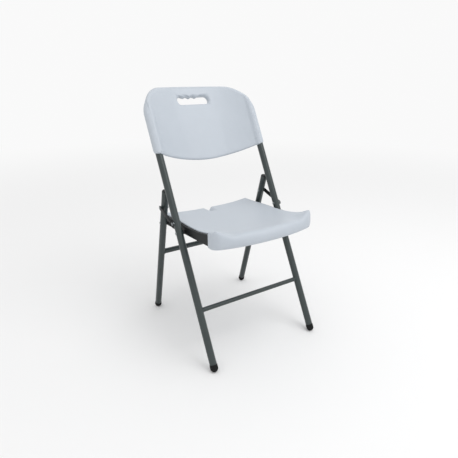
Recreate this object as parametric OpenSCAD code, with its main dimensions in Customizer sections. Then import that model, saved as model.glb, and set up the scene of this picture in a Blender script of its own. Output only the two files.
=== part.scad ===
// Folding chair with a steel tube frame and a moulded plastic seat and back.
// Millimetres, +Z up, the sitter faces -Y, origin on the floor at the centre of the footprint.

/* [Front frame] */
// Lean of the front tubes from upright, degrees
front_lean = 28.66; // [26:0.1:31]
// Distance between the axes of the left and right tubes
track = 429.2; // [380:1:520]
// Outside diameter of the frame tubes
tube_d = 25; // [20:0.5:30]
// Wall of the frame tubes
tube_wall = 1.2; // [0.8:0.1:2]
// Height of the front crossbar
front_bar_h = 183; // [120:1:260]
// Diameter of the front crossbar
front_bar_d = 16; // [14:0.5:22]

/* [Rear legs] */
// Lean of the rear legs from upright, degrees
rear_lean = 16; // [13:0.1:19]
// Gap between the top of a rear leg and the front tube it rests beside
leg_gap = 4; // [3:0.1:6]
// Height of the rear crossbar
rear_bar_h = 284; // [220:1:320]
// Diameter of the rear crossbar
rear_bar_d = 20; // [14:0.5:22]

/* [Feet] */
// Wall of the rubber feet around the tubes
foot_wall = 1; // [0.8:0.1:3]
// Length of a front foot along its tube
front_foot_len = 26; // [22:1:50]
// Length of a rear foot along its leg
rear_foot_len = 20; // [18:1:50]
// Diameter of the flat patch that a foot stands on
foot_patch_d = 11; // [6:0.5:14]

/* [Linkage] */
// Height of the rivet that joins the seat rail to the front tube; the linkage grows with it
seat_pivot_h = 421.34; // [390:0.01:460]
// Diameter of the rivet shanks
rivet_d = 7; // [5:0.5:8]
// Diameter of the rivet heads
rivet_head_d = 11; // [10:0.5:14]
// Height of the rivet heads
rivet_head_h = 2.2; // [1.6:0.1:4]
// Radial clearance of a rivet in its holes
pin_clear = 0.05; // [0.03:0.01:0.1]
// Width of the link bars
link_w = 16; // [14:0.5:20]
// Thickness of the link bars
link_t = 2.5; // [2:0.5:4]
// How far the rear rivet climbs in its slot in the seat rail
slot_rise = 6.4; // [6.4:0.1:7]
// Play of the rear rivet at each side of its slot
slot_play = 1.6; // [1.5:0.1:2]

/* [Seat] */
// Gap between the tubes' inner faces and the seat rails
rail_gap = 5.6; // [4:0.1:8]
// Depth of a seat rail from top to bottom
rail_depth = 31; // [30:1:38]
// Width of a seat rail
rail_w = 12; // [10:0.5:16]
// Sheet thickness of the seat rails
rail_wall = 1.6; // [1.2:0.1:2.5]
// Slope of the seat rails, degrees, falling to the rear
rail_tilt = 5.2; // [4:0.1:7]
// Height of a rail's centre line above the front seat rivet
rail_lift = 6.2; // [5:0.1:7]
// Depth of the seat from its front edge to its rear edge
seat_depth = 430; // [400:1:450]
// Distance from the front tubes' floor line back to the seat's front edge at its centre
seat_front = -10; // [-20:1:0]
// How far the front edge curves back at its corners
front_bow = 34; // [20:1:40]
// Clearance between the ends of the seat's front lip and the front tubes
lip_clear = 1.6; // [1:0.1:4]
// Width of a seat brace
brace_w = 25; // [20:1:35]
// Thickness of a seat brace
brace_t = 2.5; // [2:0.5:3]

/* [Back] */
// Height of the top of the back panel above the front seat rivet
back_rise = 458.66; // [420:0.01:500]
// Height of the back panel at its centre
back_h = 259; // [220:1:270]
// Rise of the lower edge from its centre to the tubes
back_bottom_rise = 50; // [20:1:60]
// Depth of the hollow of the back, from the line of the tubes
back_hollow = 55; // [35:1:60]
// Thickness of the back panel
back_t = 22; // [16:1:24]
// Wall of the sleeves that fit over the front tubes
sleeve_wall = 4.5; // [3:0.1:9]
// Radius of the upper corners
back_corner_r = 95; // [80:1:96]
// Width of the hand hole
hand_w = 132; // [100:1:140]
// Height of the hand hole, along the panel
hand_h = 32; // [26:1:36]
// Distance along the panel from its top down to the centre of the hand hole
hand_drop = 58; // [54:1:80]
// Diameter of the screws
screw_d = 4; // [3:0.5:5]
// Diameter of the screw heads
screw_head_d = 8; // [7:0.5:10]

/* [Hidden] */

$fn = 64;
LEFT = -1;
RIGHT = 1;
steel = [0.38, 0.41, 0.42];
dark_steel = [0.22, 0.24, 0.25];
black = [0.13, 0.13, 0.14];
bright = [0.45, 0.47, 0.49];
white = [0.82, 0.85, 0.88];

tube_r = tube_d / 2;
foot_r = tube_r + foot_wall;
half_track = track / 2;
gap = 0.2;                       // gap between faces that turn past each other
slot_side_gap = 1;               // gap between a rail's web and the rivet head that slides along it
through = 1;                     // how far a cutting body runs past what it cuts

// The linkage keeps its shape: each height is a share of the height where the tubes' axes would cross
SEAT_RIVET_SHARE = 0.722453;
LINK_FRONT_SHARE = 0.775024;
LINK_REAR_SHARE = 0.824749;
cross_h = seat_pivot_h / SEAT_RIVET_SHARE;
link_front_h = LINK_FRONT_SHARE * cross_h;
link_rear_h = LINK_REAR_SHARE * cross_h;
stance = cross_h * (tan(front_lean) + tan(rear_lean));
plug_cap_h = 3.5;                // height of the domed cap of a leg plug
between = front_lean + rear_lean;
leg_end_reach = tube_r * (1 + cos(between)) + plug_cap_h * sin(between) + leg_gap;
rear_leg_top = cross_h - leg_end_reach / cos(front_lean) / (tan(front_lean) + tan(rear_lean));

back_top = seat_pivot_h + back_rise;
back_bottom = back_top - back_h;
tube_cover = 80;                 // how far the front tubes stop below the top of the back
front_tube_top = back_top - tube_cover;

// The footprint's centre line, measured from the front tubes' floor line
foot_centre_h = sqrt(pow(foot_r, 2) - pow(foot_patch_d / 2, 2));
depth_front = min(seat_front, foot_centre_h * tan(front_lean) - foot_r);
depth_rear = back_top * tan(front_lean) + (back_hollow + back_t) / cos(front_lean);
middle = (depth_front + depth_rear) / 2;

// Places across the chair, measured from its centre
tube_in = half_track - tube_r;
tube_out = half_track + tube_r;
rail_out = tube_in - rail_gap;
rail_in = rail_out - rail_w;
lip_half = tube_in - lip_clear;
head_clear = 0.3;                // the link bars pass this far over the seat rivets' heads
washer_t = rivet_head_h + head_clear;
link_in = tube_out + washer_t + gap;
link_out = link_in + link_t;

// Where each rivet stands, as [y, z]
function on_front(h) = [h * tan(front_lean) - middle, h];
function on_rear(h) = [stance - h * tan(rear_lean) - middle, h];
seat_pivot = on_front(seat_pivot_h);
slot_lift = 1.362;                // height of the rear seat rivet above a rail's centre line
rail_pivot_h = (seat_pivot_h + rail_lift + slot_lift
    - (stance - seat_pivot_h * tan(front_lean)) * tan(rail_tilt)) / (1 - tan(rear_lean) * tan(rail_tilt));
rail_pivot = on_rear(rail_pivot_h);
link_front = on_front(link_front_h);
link_rear = on_rear(link_rear_h);

// The tubes' feet start a little above the floor, inside the rubber
foot_floor = 4;
front_tube_start = (foot_centre_h - foot_floor) / cos(front_lean);
rear_tube_start = (foot_centre_h - foot_floor) / cos(rear_lean);

sleeve_r = tube_r + sleeve_wall;
sleeve_end_h = back_bottom + back_bottom_rise;
screw_inset = [28, 35];          // from a sleeve's lower end and from a tube's upper end
back_screw_h = [sleeve_end_h + screw_inset[0], front_tube_top - screw_inset[1]];

module front_axis(side) {
    translate([side * half_track, -middle, 0]) rotate([-front_lean, 0, 0]) children();
}

module rear_axis(side) {
    translate([side * half_track, stance - middle, 0]) rotate([rear_lean, 0, 0]) children();
}

// A bar along X through a point given as [y, z]
module cross_hole(spot, r, x_from, x_to) {
    translate([x_from, spot[0], spot[1]]) rotate([0, 90, 0]) cylinder(h = x_to - x_from, r = r);
}

module both_sides() {
    children();
    mirror([1, 0, 0]) children();
}

module tube(from, to) {
    translate([0, 0, from]) difference() {
        cylinder(h = to - from, r = tube_r);
        translate([0, 0, -through]) cylinder(h = to - from + 2 * through, r = tube_r - tube_wall);
    }
}

module rivet_holes(side, spots) {
    for (spot = spots)
        cross_hole(spot, rivet_d / 2 + pin_clear,
            side * half_track - tube_d, side * half_track + tube_d);
}

// Back screws enter from behind, square to the front tubes
module back_screw_places() {
    for (h = back_screw_h)
        translate([0, 0, h / cos(front_lean)]) rotate([-90, 0, 0]) children();
}

module front_tube(side) {
    color(steel) difference() {
        front_axis(side) difference() {
            tube(front_tube_start, front_tube_top / cos(front_lean));
            back_screw_places() cylinder(h = tube_d, r = screw_d / 2 + pin_clear);
        }
        rivet_holes(side, [seat_pivot, link_front]);
    }
}

module rear_leg(side) {
    color(steel) difference() {
        rear_axis(side) tube(rear_tube_start, rear_leg_top / cos(rear_lean));
        rivet_holes(side, [rail_pivot, link_rear]);
    }
}

// A crossbar's ends are coped to sit on the round tubes
module crossbar(spot, d) {
    difference() {
        cross_hole(spot, d / 2, -half_track, half_track);
        cross_hole(spot, d / 2 - tube_wall, -half_track - through, half_track + through);
        children();
    }
}

module front_crossbar() {
    color(steel) crossbar(on_front(front_bar_h), front_bar_d)
        for (side = [LEFT, RIGHT])
            front_axis(side) cylinder(h = front_tube_top, r = tube_r);
}

module rear_crossbar() {
    color(steel) crossbar(on_rear(rear_bar_h), rear_bar_d)
        for (side = [LEFT, RIGHT])
            rear_axis(side) cylinder(h = rear_leg_top, r = tube_r);
}

// A rubber cup with a round underside and a flat patch on the floor
module foot(lean, length, tube_start) {
    centre_s = foot_centre_h / cos(lean);
    difference() {
        union() {
            translate([0, 0, centre_s]) sphere(r = foot_r);
            translate([0, 0, centre_s]) cylinder(h = length - centre_s, r = foot_r);
        }
        translate([0, 0, tube_start]) cylinder(h = length, r = tube_r);
    }
}

module floor_cut() {
    difference() {
        children();
        translate([-track, -2 * stance, -2 * foot_r]) cube([2 * track, 4 * stance, 2 * foot_r]);
    }
}

module front_foot(side) {
    color(black) floor_cut() front_axis(side) foot(front_lean, front_foot_len, front_tube_start);
}

module rear_foot(side) {
    color(black) floor_cut() rear_axis(side) foot(rear_lean, rear_foot_len, rear_tube_start);
}

// A plastic plug with a low domed cap closes the top of each rear leg
plug_depth = 18;
plug_inset = 0.5;                // how far the cap stays inside the tube's outside
module leg_plug(side) {
    cap_r = tube_r - plug_inset;
    dome_r = (pow(cap_r, 2) + pow(plug_cap_h, 2)) / (2 * plug_cap_h);
    color(black) rear_axis(side) translate([0, 0, rear_leg_top / cos(rear_lean)]) {
        intersection() {
            translate([0, 0, plug_cap_h - dome_r]) sphere(r = dome_r);
            cylinder(h = plug_cap_h, r = cap_r);
        }
        translate([0, 0, -plug_depth]) cylinder(h = plug_depth, r = tube_r - tube_wall);
    }
}

// Flat bar with round ends, drilled for a rivet at each end
module link_bar(side) {
    run = link_rear - link_front;
    color(dark_steel) translate([side > 0 ? link_in : -link_out, link_front[0], link_front[1]])
        rotate([90, 0, 90]) linear_extrude(link_t) rotate(atan2(run[1], run[0])) difference() {
            union() {
                translate([0, -link_w / 2]) square([norm(run), link_w]);
                for (x = [0, norm(run)]) translate([x, 0]) circle(d = link_w);
            }
            for (x = [0, norm(run)]) translate([x, 0]) circle(r = rivet_d / 2 + pin_clear);
        }
}

// A rivet along +X: a shank between two domed heads
module rivet(spot, x_in, x_out) {
    head_r = rivet_head_d / 2;
    dome_r = (pow(head_r, 2) + pow(rivet_head_h, 2)) / (2 * rivet_head_h);
    cross_hole(spot, rivet_d / 2, x_in, x_out);
    for (end = [[x_in, -1], [x_out, 1]])
        translate([end[0], spot[0], spot[1]]) rotate([0, end[1] * 90, 0]) intersection() {
            translate([0, 0, rivet_head_h - dome_r]) sphere(r = dome_r);
            cylinder(h = rivet_head_h, r = head_r);
        }
}

module ring(spot, x_from, x_to, r) {
    difference() {
        cross_hole(spot, r, x_from, x_to);
        cross_hole(spot, rivet_d / 2 + pin_clear, x_from - through, x_to + through);
    }
}

module link_front_rivets() {
    color(bright) both_sides() rivet(link_front, tube_in - gap, link_out + gap);
}

module link_rear_rivets() {
    color(bright) both_sides() rivet(link_rear, tube_in - gap, link_out + gap);
}

module seat_front_rivets() {
    color(bright) both_sides() rivet(seat_pivot, rail_out - rail_wall - gap, tube_out + gap);
}

module seat_rear_rivets() {
    color(bright) both_sides() rivet(rail_pivot, rail_out - rail_wall - slot_side_gap, tube_out + gap);
}

washer_r = 7;
module link_front_washers() {
    color(bright) both_sides() ring(link_front, tube_out, tube_out + washer_t, washer_r);
}

module link_rear_washers() {
    color(bright) both_sides() ring(link_rear, tube_out, tube_out + washer_t, washer_r);
}

module seat_front_spacers() {
    color(black) both_sides() ring(seat_pivot, rail_out + gap, tube_in, washer_r);
}

module seat_rear_spacers() {
    color(black) both_sides() ring(rail_pivot, rail_out + gap, tube_in, washer_r + slot_play);
}

// ---- Seat ----
// Rise of the seat's top above the front rivet over the share of the seat's depth, front to rear
centre_line = [[0, 47.7], [0.05, 48.7], [0.12, 42.7], [0.26, 27.7], [0.44, 14.7],
    [0.63, 7.7], [0.84, 4.7], [1, 2.2]];
side_line = [[0.05, 69.7], [0.105, 66.7], [0.15, 57.7], [0.2, 48.7], [0.29, 38.7],
    [0.4, 30.7], [0.52, 25.7], [0.67, 22.7], [0.84, 17], [1, 13.7]];
seat_rear = seat_front + seat_depth;
seat_half = rail_in - 0.3;
lip_rear = 58;                   // where the ends of the lip stop, in front of the rails
lip_bottom = seat_pivot_h + 5.7; // height of the lip's underside
lip_round = 22;                  // length over which the front edge rounds
corner_r = 26;                   // radius of the front corners
groove_half = 22;                // half the width of the groove in the rear edge
groove_depth = 19;
groove_run = 62;                 // how far the groove runs forward

lip_face = lip_bottom + 17;      // height of the lower edge of the lip's foremost band
lip_flat = 8;                    // height of that band
side_drop = 2.5;                 // how much the top falls at its side edges

function smooth(t) = let (c = min(1, max(0, t))) c * c * (3 - 2 * c);
function front_edge(x) =
    let (over = max(0, abs(x) - lip_half + corner_r))
    seat_front + front_bow * pow(abs(x) / lip_half, 2.2)
    + corner_r - sqrt(max(0, pow(corner_r, 2) - pow(over, 2)));
function side_share(x) = pow(min(1, abs(x) / seat_half), 3);
dip_depth = 9;                   // depth of the dips beside the raised front corners
dip_x = 0.733 * seat_half;
dip_half = 32;
dip_front = 20;
dip_run = 60;
function lip_dip(x, y) =
    dip_depth * exp(-pow((abs(x) - dip_x) / dip_half, 2)) * (1 - smooth((y - dip_front) / dip_run));
function groove(x, y) =
    groove_depth * max(0, 1 - abs(x) / groove_half) * smooth((y - seat_rear + groove_run) / groove_run);
function dish(x, y) =
    let (t = (y - seat_front) / seat_depth, low = lookup(t, centre_line))
    seat_pivot_h + low + side_share(x) * (lookup(t, side_line) - low);
function seat_top(x, y) = dish(x, y) - lip_dip(x, y) - groove(x, y);
// The plane of the rails' undersides, on which the seat shell and the braces meet
function rail_under(y) = seat_pivot_h + rail_lift - rail_depth / 2 / cos(rail_tilt)
    - (y - middle - seat_pivot[0]) * tan(rail_tilt);
under_run = 25;                  // length of the underside's slope behind the lip
function seat_under(y) =
    let (k = smooth((y - lip_rear) / under_run)) lip_bottom * (1 - k) + rail_under(y) * k;

// One row of the seat from front to rear: a loop over the top and back underneath
across = [-1, -0.985, -0.95, -0.88, -0.78, -0.66, -0.53, -0.4, -0.27, -0.115, -0.0575, 0,
    0.0575, 0.115, 0.27, 0.4, 0.53, 0.66, 0.78, 0.88, 0.95, 0.985, 1];
even_from = 95;                  // rows are evenly spaced behind this distance from the front edge
along = concat([for (t = [0, 0.08, 0.25, 0.5, 1]) t * lip_round], [30, 45],
    [lip_rear - seat_front, lip_rear - seat_front + 1.5], [80, even_from],
    [for (t = [1:12]) even_from + (seat_depth - even_from) * t / 12]);
function row(s) =
    let (nominal = seat_front + s, half = nominal <= lip_rear ? lip_half : seat_half)
    let (q = max(0, 1 - s / lip_round), ease = sqrt(max(0, 1 - q * q)))
    let (ys = [for (a = across) let (e = front_edge(a * half))
        nominal <= lip_rear ? e + (lip_rear - e) * s / (lip_rear - seat_front) : nominal])
    let (low = [for (y = ys) lip_face * (1 - ease) + seat_under(y) * ease])
    let (high = [for (i = [0:len(across) - 1]) let (top = seat_top(across[i] * half, ys[i]))
        let (side = abs(across[i]) == 1 ? side_drop : 0)
        (lip_face + lip_flat) * (1 - ease) + (top - side) * ease])
    concat(
        [for (i = [0:len(across) - 1]) [across[i] * half, ys[i] - middle, high[i]]],
        [for (i = [len(across) - 1:-1:0]) [across[i] * half, ys[i] - middle, low[i]]]
    );

// Closed skin over rows whose two halves mirror each other, so each end closes as a strip
module skin(rows) {
    n = len(rows[0]);
    m = len(rows);
    last = (m - 1) * n;
    polyhedron(
        points = [for (r = rows) for (p = r) p],
        faces = concat(
            [for (i = [0:m - 2]) for (j = [0:n - 1])
                let (a = i * n + j, b = i * n + (j + 1) % n) each [[a, a + n, b], [b, a + n, b + n]]],
            [for (j = [0:n / 2 - 2]) let (a = j, b = j + 1, c = n - 2 - j, d = n - 1 - j)
                each [[a, b, c], [a, c, d], [last + a, last + c, last + b], [last + a, last + d, last + c]]]
        )
    );
}

brace_y = [for (t = [0.21, 0.75]) lip_rear + t * (seat_rear - lip_rear)];
brace_screw_x = 0.65 * seat_half;
module brace_places(y) {
    for (side = [LEFT, RIGHT])
        translate([side * brace_screw_x, y - middle, rail_under(y)]) rotate([-rail_tilt, 0, 0]) children();
}

screw_bite = 12;                 // how far the seat screws reach into the shell
module seat_shell() {
    color(white) difference() {
        skin([for (s = along) row(s)]);
        for (y = brace_y) brace_places(y)
            translate([0, 0, -through]) cylinder(h = screw_bite + 2 * through, r = screw_d / 2 + pin_clear);
    }
}

// Local frame of a rail: origin over the front seat rivet, local Y along the rail to the rear
module rail_frame() {
    translate([0, seat_pivot[0], seat_pivot[1] + rail_lift]) rotate([-rail_tilt, 0, 0]) children();
}

// Rounded rectangle with its lower left corner at the origin
module rounded(w, h, r) {
    translate([r, 0]) square([w - 2 * r, h]);
    translate([0, r]) square([w, h - 2 * r]);
    for (x = [r, w - r], y = [r, h - r]) translate([x, y]) circle(r = r);
}

rail_corner = 4;
rail_front = lip_rear + 4;
rail_end = 28;                   // how far a rail runs behind its rear rivet
rail_rear = rail_pivot[0] + middle + rail_end;
// Sheet steel channel, open towards the middle of the chair
module rail_channel() {
    length = (rail_rear - rail_front) / cos(rail_tilt);
    start = (rail_front - middle - seat_pivot[0]) / cos(rail_tilt);
    translate([0, start + length, -rail_depth / 2]) rotate([90, 0, 0]) linear_extrude(length) difference() {
        intersection() {
            translate([rail_in - rail_w, 0]) rounded(2 * rail_w, rail_depth, rail_corner);
            translate([rail_in, 0]) square([rail_w, rail_depth]);
        }
        translate([rail_in - rail_w, rail_wall])
            rounded(2 * rail_w - rail_wall, rail_depth - 2 * rail_wall, rail_corner - rail_wall);
    }
}

// The front of a rail rises above its straight part to follow the seat's side edge
crest_run = 84;                  // how far the crest runs behind the rail's front end
crest_under = 1;                 // how far the crest stays below the seat's side edge
function rail_top(y) = rail_under(y) + rail_depth / cos(rail_tilt);
function crest_top(y) = max(rail_top(y), dish(seat_half, y) - side_drop - crest_under);
module crest_side(drop, below) {
    ys = [for (t = [0:6]) rail_front + crest_run * t / 6];
    polygon(concat(
        [for (y = ys) [y - middle, crest_top(y) - drop]],
        [for (i = [6:-1:0]) [ys[i] - middle, rail_top(ys[i]) - below]]
    ));
}
module rail_crest() {
    difference() {
        translate([rail_in, 0, 0]) rotate([90, 0, 90]) linear_extrude(rail_w)
            crest_side(0, rail_corner);
        translate([rail_in - through, -through, 0]) rotate([90, 0, 90])
            linear_extrude(rail_w - rail_wall + through) crest_side(rail_wall, 2 * rail_corner);
        translate([rail_in - through, through, 0]) rotate([90, 0, 90])
            linear_extrude(rail_w - rail_wall + through) crest_side(rail_wall, 2 * rail_corner);
    }
}

// Slot that lets the rear rivet climb while the chair folds
slot_back = 1.5;                 // how far the slot leans back over its rise
slot_shift = 0.4;                // how far the slot's lower end lies behind the rivet
module rail_slot() {
    r = rivet_d / 2 + slot_play;
    run = [slot_back, slot_rise];
    start = rail_pivot + [slot_shift, 0];
    angle = atan2(run[1], run[0]);
    for (spot = [start, start + run])
        cross_hole(spot, r, rail_in, rail_out + through);
    translate([rail_in, start[0], start[1]]) rotate([angle, 0, 0])
        translate([0, 0, -r]) cube([rail_w + through, norm(run), 2 * r]);
}

module rail_right() {
    difference() {
        union() {
            rail_frame() rail_channel();
            rail_crest();
        }
        cross_hole(seat_pivot, rivet_d / 2 + pin_clear, rail_in, rail_out + through);
        rail_slot();
    }
}

module seat_rail(side) {
    color(dark_steel) if (side > 0) rail_right(); else mirror([1, 0, 0]) rail_right();
}

// Flat strip under both rails, drilled for the seat screws
module seat_brace(y) {
    color(dark_steel) difference() {
        translate([0, y - middle, rail_under(y)]) rotate([-rail_tilt, 0, 0])
            translate([-rail_out + rail_corner, -brace_w / 2, -brace_t])
                cube([2 * (rail_out - rail_corner), brace_w, brace_t]);
        brace_places(y) translate([0, 0, -2 * brace_t])
            cylinder(h = 3 * brace_t, r = screw_d / 2 + pin_clear);
    }
}

// A pan-head screw, its head under the origin and its shank up along +Z
module screw(length) {
    head_r = screw_head_d / 2;
    head_h = head_r * 0.6;
    dome_r = (pow(head_r, 2) + pow(head_h, 2)) / (2 * head_h);
    cylinder(h = length, r = screw_d / 2);
    mirror([0, 0, 1]) intersection() {
        translate([0, 0, head_h - dome_r]) sphere(r = dome_r);
        cylinder(h = head_h, r = head_r);
    }
}

module seat_screws() {
    color(bright) for (y = brace_y) brace_places(y) translate([0, 0, -brace_t]) screw(brace_t + screw_bite);
}

// ---- Back ----
// Plan of the back seen along the tubes: a curved web between two round sleeves
module back_plan() {
    chord = half_track - sleeve_r;
    r = (pow(chord, 2) + pow(back_hollow + sleeve_r / 4, 2)) / (2 * (back_hollow + sleeve_r / 4));
    intersection() {
        translate([0, back_hollow - r]) difference() {
            circle(r = r + back_t, $fn = 180);
            circle(r = r, $fn = 180);
        }
        translate([-half_track, -sleeve_r]) square([track, back_hollow + back_t + 2 * sleeve_r]);
    }
    for (side = [LEFT, RIGHT]) translate([side * half_track, 0]) circle(r = sleeve_r);
}

// Outline seen from the front: level top, round upper corners, lower edge bowed down
module back_outline() {
    w = half_track + sleeve_r;
    bow = (pow(half_track, 2) + pow(back_bottom_rise, 2)) / (2 * back_bottom_rise);
    intersection() {
        union() {
            translate([-w, 0]) square([2 * w, back_top - back_corner_r]);
            translate([-w + back_corner_r, 0]) square([2 * (w - back_corner_r), back_top]);
            for (side = [LEFT, RIGHT])
                translate([side * (w - back_corner_r), back_top - back_corner_r])
                    circle(r = back_corner_r, $fn = 120);
        }
        union() {
            translate([0, back_bottom + bow]) circle(r = bow, $fn = 240);
            translate([-w, sleeve_end_h]) square([2 * w, back_top]);
        }
    }
}

// The hand hole runs square to the panel; its middle is measured on the panel's mid-thickness
module hand_hole() {
    r = hand_h / 2;
    up = (back_top + (back_hollow + back_t / 2) * sin(front_lean)) / cos(front_lean) - hand_drop;
    translate([0, -middle, 0]) rotate([-front_lean, 0, 0]) translate([0, back_hollow + 2 * back_t, up])
        rotate([90, 0, 0]) linear_extrude(4 * back_t) {
            square([hand_w - hand_h, hand_h], center = true);
            for (side = [LEFT, RIGHT]) translate([side * (hand_w / 2 - r), 0]) circle(r = r);
        }
}

module back_panel() {
    start = (back_bottom - sleeve_r) / cos(front_lean);
    finish = (back_top + back_hollow + back_t) / cos(front_lean);
    color(white) difference() {
        intersection() {
            translate([0, -middle, 0]) rotate([-front_lean, 0, 0])
                translate([0, 0, start]) linear_extrude(finish - start) back_plan();
            translate([0, stance + middle, 0]) rotate([90, 0, 0])
                linear_extrude(3 * stance) back_outline();
        }
        hand_hole();
        for (side = [LEFT, RIGHT]) front_axis(side) {
            cylinder(h = (front_tube_top + gap) / cos(front_lean), r = tube_r + gap);
            back_screw_places() cylinder(h = 2 * sleeve_r, r = screw_d / 2 + pin_clear);
        }
    }
}

module back_screws() {
    reach = sleeve_r - tube_r + tube_wall + 5;
    color(bright) for (side = [LEFT, RIGHT]) front_axis(side) back_screw_places()
        translate([0, 0, sleeve_r + gap]) mirror([0, 0, 1]) screw(reach);
}

front_tube(LEFT);  // front_tube_left
front_tube(RIGHT);  // front_tube_right
front_crossbar();
front_foot(LEFT);  // front_foot_left
front_foot(RIGHT);  // front_foot_right
rear_leg(LEFT);  // rear_leg_left
rear_leg(RIGHT);  // rear_leg_right
rear_crossbar();
rear_foot(LEFT);  // rear_foot_left
rear_foot(RIGHT);  // rear_foot_right
leg_plug(LEFT);  // leg_plug_left
leg_plug(RIGHT);  // leg_plug_right
link_bar(LEFT);  // link_bar_left
link_bar(RIGHT);  // link_bar_right
link_front_rivets();
link_rear_rivets();
seat_front_rivets();
seat_rear_rivets();
link_front_washers();
link_rear_washers();
seat_front_spacers();
seat_rear_spacers();
seat_shell();
seat_rail(LEFT);  // seat_rail_left
seat_rail(RIGHT);  // seat_rail_right
seat_brace(brace_y[0]);  // seat_brace_front
seat_brace(brace_y[1]);  // seat_brace_rear
seat_screws();
back_panel();
back_screws();
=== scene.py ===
import math
import bpy
import numpy as np
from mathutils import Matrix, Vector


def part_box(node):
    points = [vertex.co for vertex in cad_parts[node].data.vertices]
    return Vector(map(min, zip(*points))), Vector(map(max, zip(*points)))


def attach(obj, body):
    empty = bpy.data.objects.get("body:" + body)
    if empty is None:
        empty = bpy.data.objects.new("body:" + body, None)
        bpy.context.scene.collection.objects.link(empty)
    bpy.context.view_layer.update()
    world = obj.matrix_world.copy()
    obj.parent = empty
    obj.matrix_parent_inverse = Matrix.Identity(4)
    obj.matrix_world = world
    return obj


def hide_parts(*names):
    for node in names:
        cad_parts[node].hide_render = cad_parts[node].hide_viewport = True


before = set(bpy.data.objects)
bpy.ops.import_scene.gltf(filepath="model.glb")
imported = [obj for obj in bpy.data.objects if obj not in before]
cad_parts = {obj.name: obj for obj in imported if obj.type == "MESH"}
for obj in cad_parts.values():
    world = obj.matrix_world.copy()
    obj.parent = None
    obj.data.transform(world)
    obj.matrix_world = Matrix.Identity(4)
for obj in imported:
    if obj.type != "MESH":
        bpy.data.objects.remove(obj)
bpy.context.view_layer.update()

# ---------------------------------------------------------------------------------------------
# Front tubes. Two straight lengths of 25 mm round steel tube, one on each side, run from the
# front feet up into the back panel. They are powder coated grey, which leaves a satin skin with
# a faint orange peel.


def linear(hex_colour):
    """Linear colour of an sRGB hex value: ((c + 0.055) / 1.055) ** 2.4, or c / 12.92 up to 0.04045."""
    srgb = np.array([int(hex_colour[i:i + 2], 16) / 255 for i in (1, 3, 5)])
    low = srgb / 12.92
    high = ((srgb + 0.055) / 1.055) ** 2.4
    return (*np.where(srgb <= 0.04045, low, high).tolist(), 1.0)


def add_node(tree, kind, settings=None, **links):
    """Adds one node with its settings. A link's key is a socket's name, with _ for each space, or i and
    the socket's number; its value is an output to link from, or a constant."""
    node = tree.nodes.new(kind)
    for key, value in (settings or {}).items():
        setattr(node, key, value)
    for key, value in links.items():
        numbered = key[0] == "i" and key[1:].isdigit()
        socket = node.inputs[int(key[1:])] if numbered else node.inputs[key.replace("_", " ")]
        if isinstance(value, bpy.types.NodeSocket):
            tree.links.new(value, socket)
        else:
            socket.default_value = value
    return node


def new_material(name):
    """An empty material with its output node; returns the material, its node tree and the output."""
    material = bpy.data.materials.new(name)
    material.use_nodes = True
    tree = material.node_tree
    tree.nodes.clear()
    return material, tree, tree.nodes.new("ShaderNodeOutputMaterial")


def powder_coat(name, dark, light, roughness, sheen):
    """Polyester powder baked on steel. It gives the eye a satin skin with soft highlights, an orange
    peel of about 2 mm (scale 480), and slow changes of tone over about 45 mm (scale 22)."""
    material, tree, output = new_material(name)
    place = add_node(tree, "ShaderNodeTexCoord").outputs["Object"]
    tone = add_node(tree, "ShaderNodeTexNoise", Vector=place, Scale=22.0, Detail=3.0)
    mix = add_node(tree, "ShaderNodeMix", {"data_type": "RGBA"}, i0=tone.outputs["Fac"],
                   i6=linear(dark), i7=linear(light))
    peel_noise = add_node(tree, "ShaderNodeTexNoise", Vector=place, Scale=480.0, Detail=2.0)
    bump = add_node(tree, "ShaderNodeBump", Strength=0.12, Distance=0.0004, Height=peel_noise.outputs["Fac"])
    gloss = add_node(tree, "ShaderNodeMapRange", Value=tone.outputs["Fac"],
                     To_Min=roughness - 0.04, To_Max=roughness + 0.06)
    shader = add_node(tree, "ShaderNodeBsdfPrincipled", Base_Color=mix.outputs[2],
                      Roughness=gloss.outputs["Result"], IOR=1.5, Normal=bump.outputs["Normal"])
    shader.inputs["Specular IOR Level"].default_value = 0.5 * sheen
    shader.inputs["Coat Weight"].default_value = 0.3 * sheen
    shader.inputs["Coat Roughness"].default_value = 0.22
    tree.links.new(shader.outputs[0], output.inputs["Surface"])
    return material


def surface_faces(rows, columns, wrap_rows=False, wrap_columns=False):
    """Quads of a grid of points: each joins a point to its neighbours in the next row and column."""
    i = np.arange(rows if wrap_rows else rows - 1)[:, None]
    j = np.arange(columns if wrap_columns else columns - 1)[None, :]
    k, m = (i + 1) % rows, (j + 1) % columns
    corners = np.broadcast_arrays(i * columns + j, k * columns + j, k * columns + m, i * columns + m)
    return np.stack(corners, -1).reshape(-1, 4)


def make_object(name, parts, material, body, replaces):
    """One mesh object from a list of (points, faces) parts, smooth shaded, on its body and in its slot."""
    points = np.concatenate([part_points for part_points, part_faces in parts])
    faces = []
    start = 0
    for part_points, part_faces in parts:
        faces += [[corner + start for corner in face] for face in part_faces]
        start += len(part_points)
    mesh = bpy.data.meshes.new(name)
    mesh.from_pydata(points.tolist(), [], faces)
    mesh.polygons.foreach_set("use_smooth", np.ones(len(mesh.polygons), bool))
    mesh.update()
    mesh.materials.append(material)
    piece = bpy.data.objects.new(name, mesh)
    bpy.context.scene.collection.objects.link(piece)
    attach(piece, body)
    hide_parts(*replaces)
    return piece


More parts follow.
